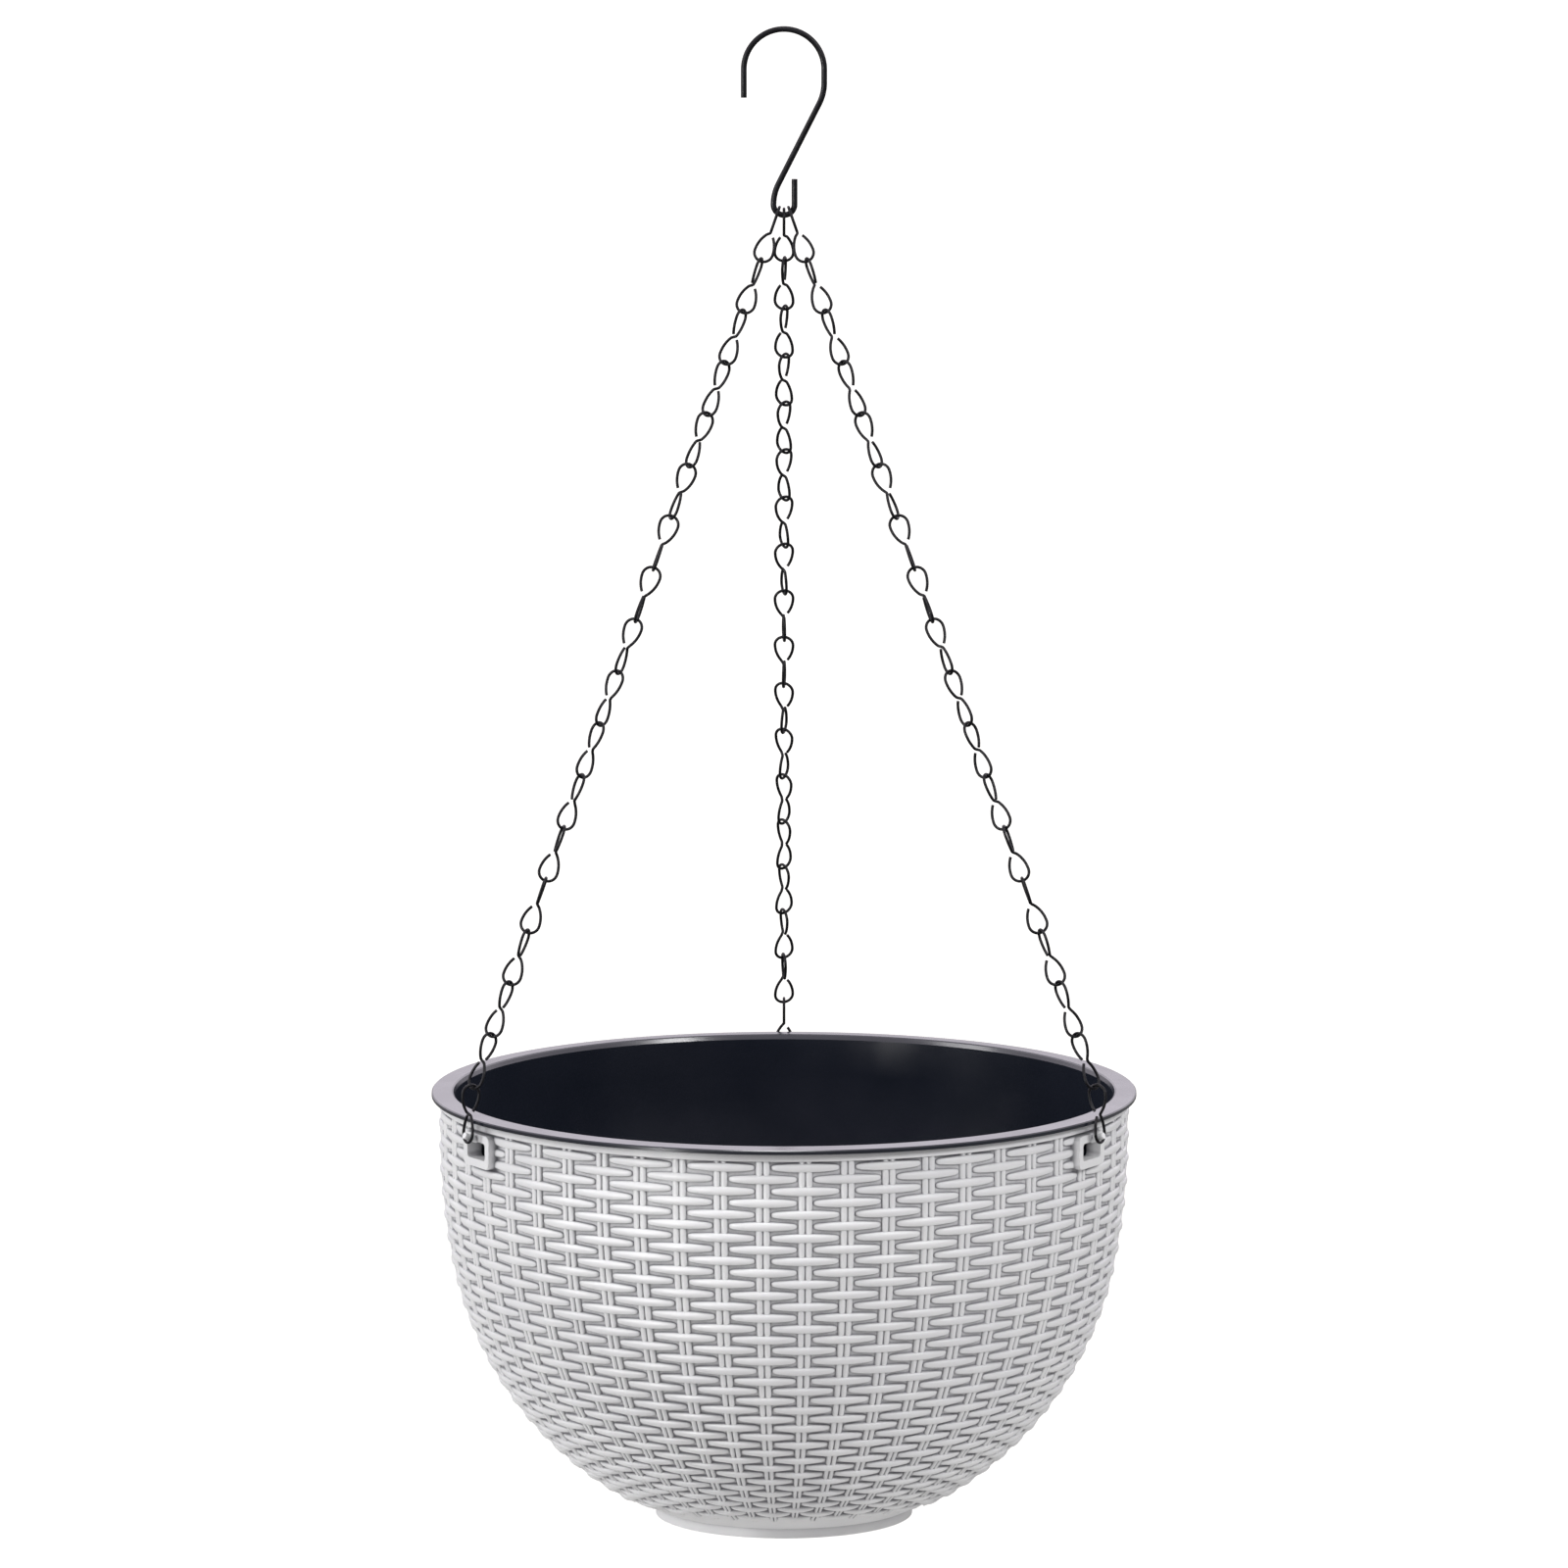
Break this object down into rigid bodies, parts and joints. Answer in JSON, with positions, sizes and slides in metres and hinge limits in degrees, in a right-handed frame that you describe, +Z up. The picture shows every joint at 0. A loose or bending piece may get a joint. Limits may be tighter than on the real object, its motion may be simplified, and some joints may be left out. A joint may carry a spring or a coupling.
{
  "type": "hanging basket",
  "caption": "Round woven-look hanging planter: moulded outer basket, lift-out liner pot, chains hooked to lugs under the rim, and an S-hook to hang it by.",
  "frame": {"origin": "inside top of the S-hook's upper crook, where a bar or ceiling hook carries it, on the basket's axis", "axes": "+Z up along the basket's axis, +Y to the rear chain, +X to the right; the S-hook lies in the XZ plane"},
  "size_m": [0.2648, 0.2699, 0.561],
  "materials": {
    "basket_plastic": "satin white moulded plastic",
    "liner_plastic": "glossy black moulded plastic",
    "chain_wire": "black coated steel wire",
    "hook_wire": "black coated steel wire",
    "plug_rubber": "matte black rubber"
  },
  "bodies": {
    "hook": {"s_hook": "hook_wire"},
    "basket": {"outer_basket": "basket_plastic"},
    "liner": {"inner_liner": "liner_plastic"},
    "plug": {"drain_plug": "plug_rubber"},
    "left_chain": {"left_chain_link_01": "chain_wire", "left_chain_link_02": "chain_wire", "left_chain_link_03": "chain_wire", "left_chain_link_04": "chain_wire", "left_chain_link_05": "chain_wire", "left_chain_link_06": "chain_wire", "left_chain_link_07": "chain_wire", "left_chain_link_08": "chain_wire", "left_chain_link_09": "chain_wire", "left_chain_link_10": "chain_wire", "left_chain_link_11": "chain_wire", "left_chain_link_12": "chain_wire", "left_chain_link_13": "chain_wire", "left_chain_link_14": "chain_wire", "left_chain_link_15": "chain_wire", "left_chain_link_16": "chain_wire", "left_chain_link_17": "chain_wire", "left_chain_link_18": "chain_wire"},
    "right_chain": {"right_chain_link_01": "chain_wire", "right_chain_link_02": "chain_wire", "right_chain_link_03": "chain_wire", "right_chain_link_04": "chain_wire", "right_chain_link_05": "chain_wire", "right_chain_link_06": "chain_wire", "right_chain_link_07": "chain_wire", "right_chain_link_08": "chain_wire", "right_chain_link_09": "chain_wire", "right_chain_link_10": "chain_wire", "right_chain_link_11": "chain_wire", "right_chain_link_12": "chain_wire", "right_chain_link_13": "chain_wire", "right_chain_link_14": "chain_wire", "right_chain_link_15": "chain_wire", "right_chain_link_16": "chain_wire", "right_chain_link_17": "chain_wire", "right_chain_link_18": "chain_wire"},
    "rear_chain": {"rear_chain_link_01": "chain_wire", "rear_chain_link_02": "chain_wire", "rear_chain_link_03": "chain_wire", "rear_chain_link_04": "chain_wire", "rear_chain_link_05": "chain_wire", "rear_chain_link_06": "chain_wire", "rear_chain_link_07": "chain_wire", "rear_chain_link_08": "chain_wire", "rear_chain_link_09": "chain_wire", "rear_chain_link_10": "chain_wire", "rear_chain_link_11": "chain_wire", "rear_chain_link_12": "chain_wire", "rear_chain_link_13": "chain_wire", "rear_chain_link_14": "chain_wire", "rear_chain_link_15": "chain_wire", "rear_chain_link_16": "chain_wire", "rear_chain_link_17": "chain_wire", "rear_chain_link_18": "chain_wire"}
  },
  "joints": [
    {"name": "basket_swing", "type": "hinge", "parent": "hook", "child": "basket", "pos_m": [0, 0, -0.0679], "axis": [1, 0, 0], "range_deg": [-20, 20]},
    {"name": "liner_lift", "type": "slide", "parent": "basket", "child": "liner", "axis": [0, 0, 1], "range_m": [0, 0.125]},
    {"name": "left_chain_spread", "type": "hinge", "parent": "basket", "child": "left_chain", "pos_m": [-0.0024, 0, -0.06707], "axis": [-0.5, 0.866, 0], "range_deg": [0, 12]},
    {"name": "right_chain_spread", "type": "hinge", "parent": "basket", "child": "right_chain", "pos_m": [0.0024, 0, -0.06707], "axis": [-0.5, -0.866, 0], "range_deg": [0, 12]},
    {"name": "rear_chain_spread", "type": "hinge", "parent": "basket", "child": "rear_chain", "pos_m": [0, 0, -0.0679], "axis": [1, 0, 0], "range_deg": [0, 12]},
    {"name": "plug_pull", "type": "slide", "parent": "basket", "child": "plug", "axis": [0, 0, -1], "range_m": [0, 0.012]}
  ],
  "couplings": [
    {"joint": "left_chain_spread", "follows": "liner_lift", "rad_per_m": 1.65},
    {"joint": "right_chain_spread", "follows": "liner_lift", "rad_per_m": 1.65},
    {"joint": "rear_chain_spread", "follows": "liner_lift", "rad_per_m": 1.65}
  ]
}
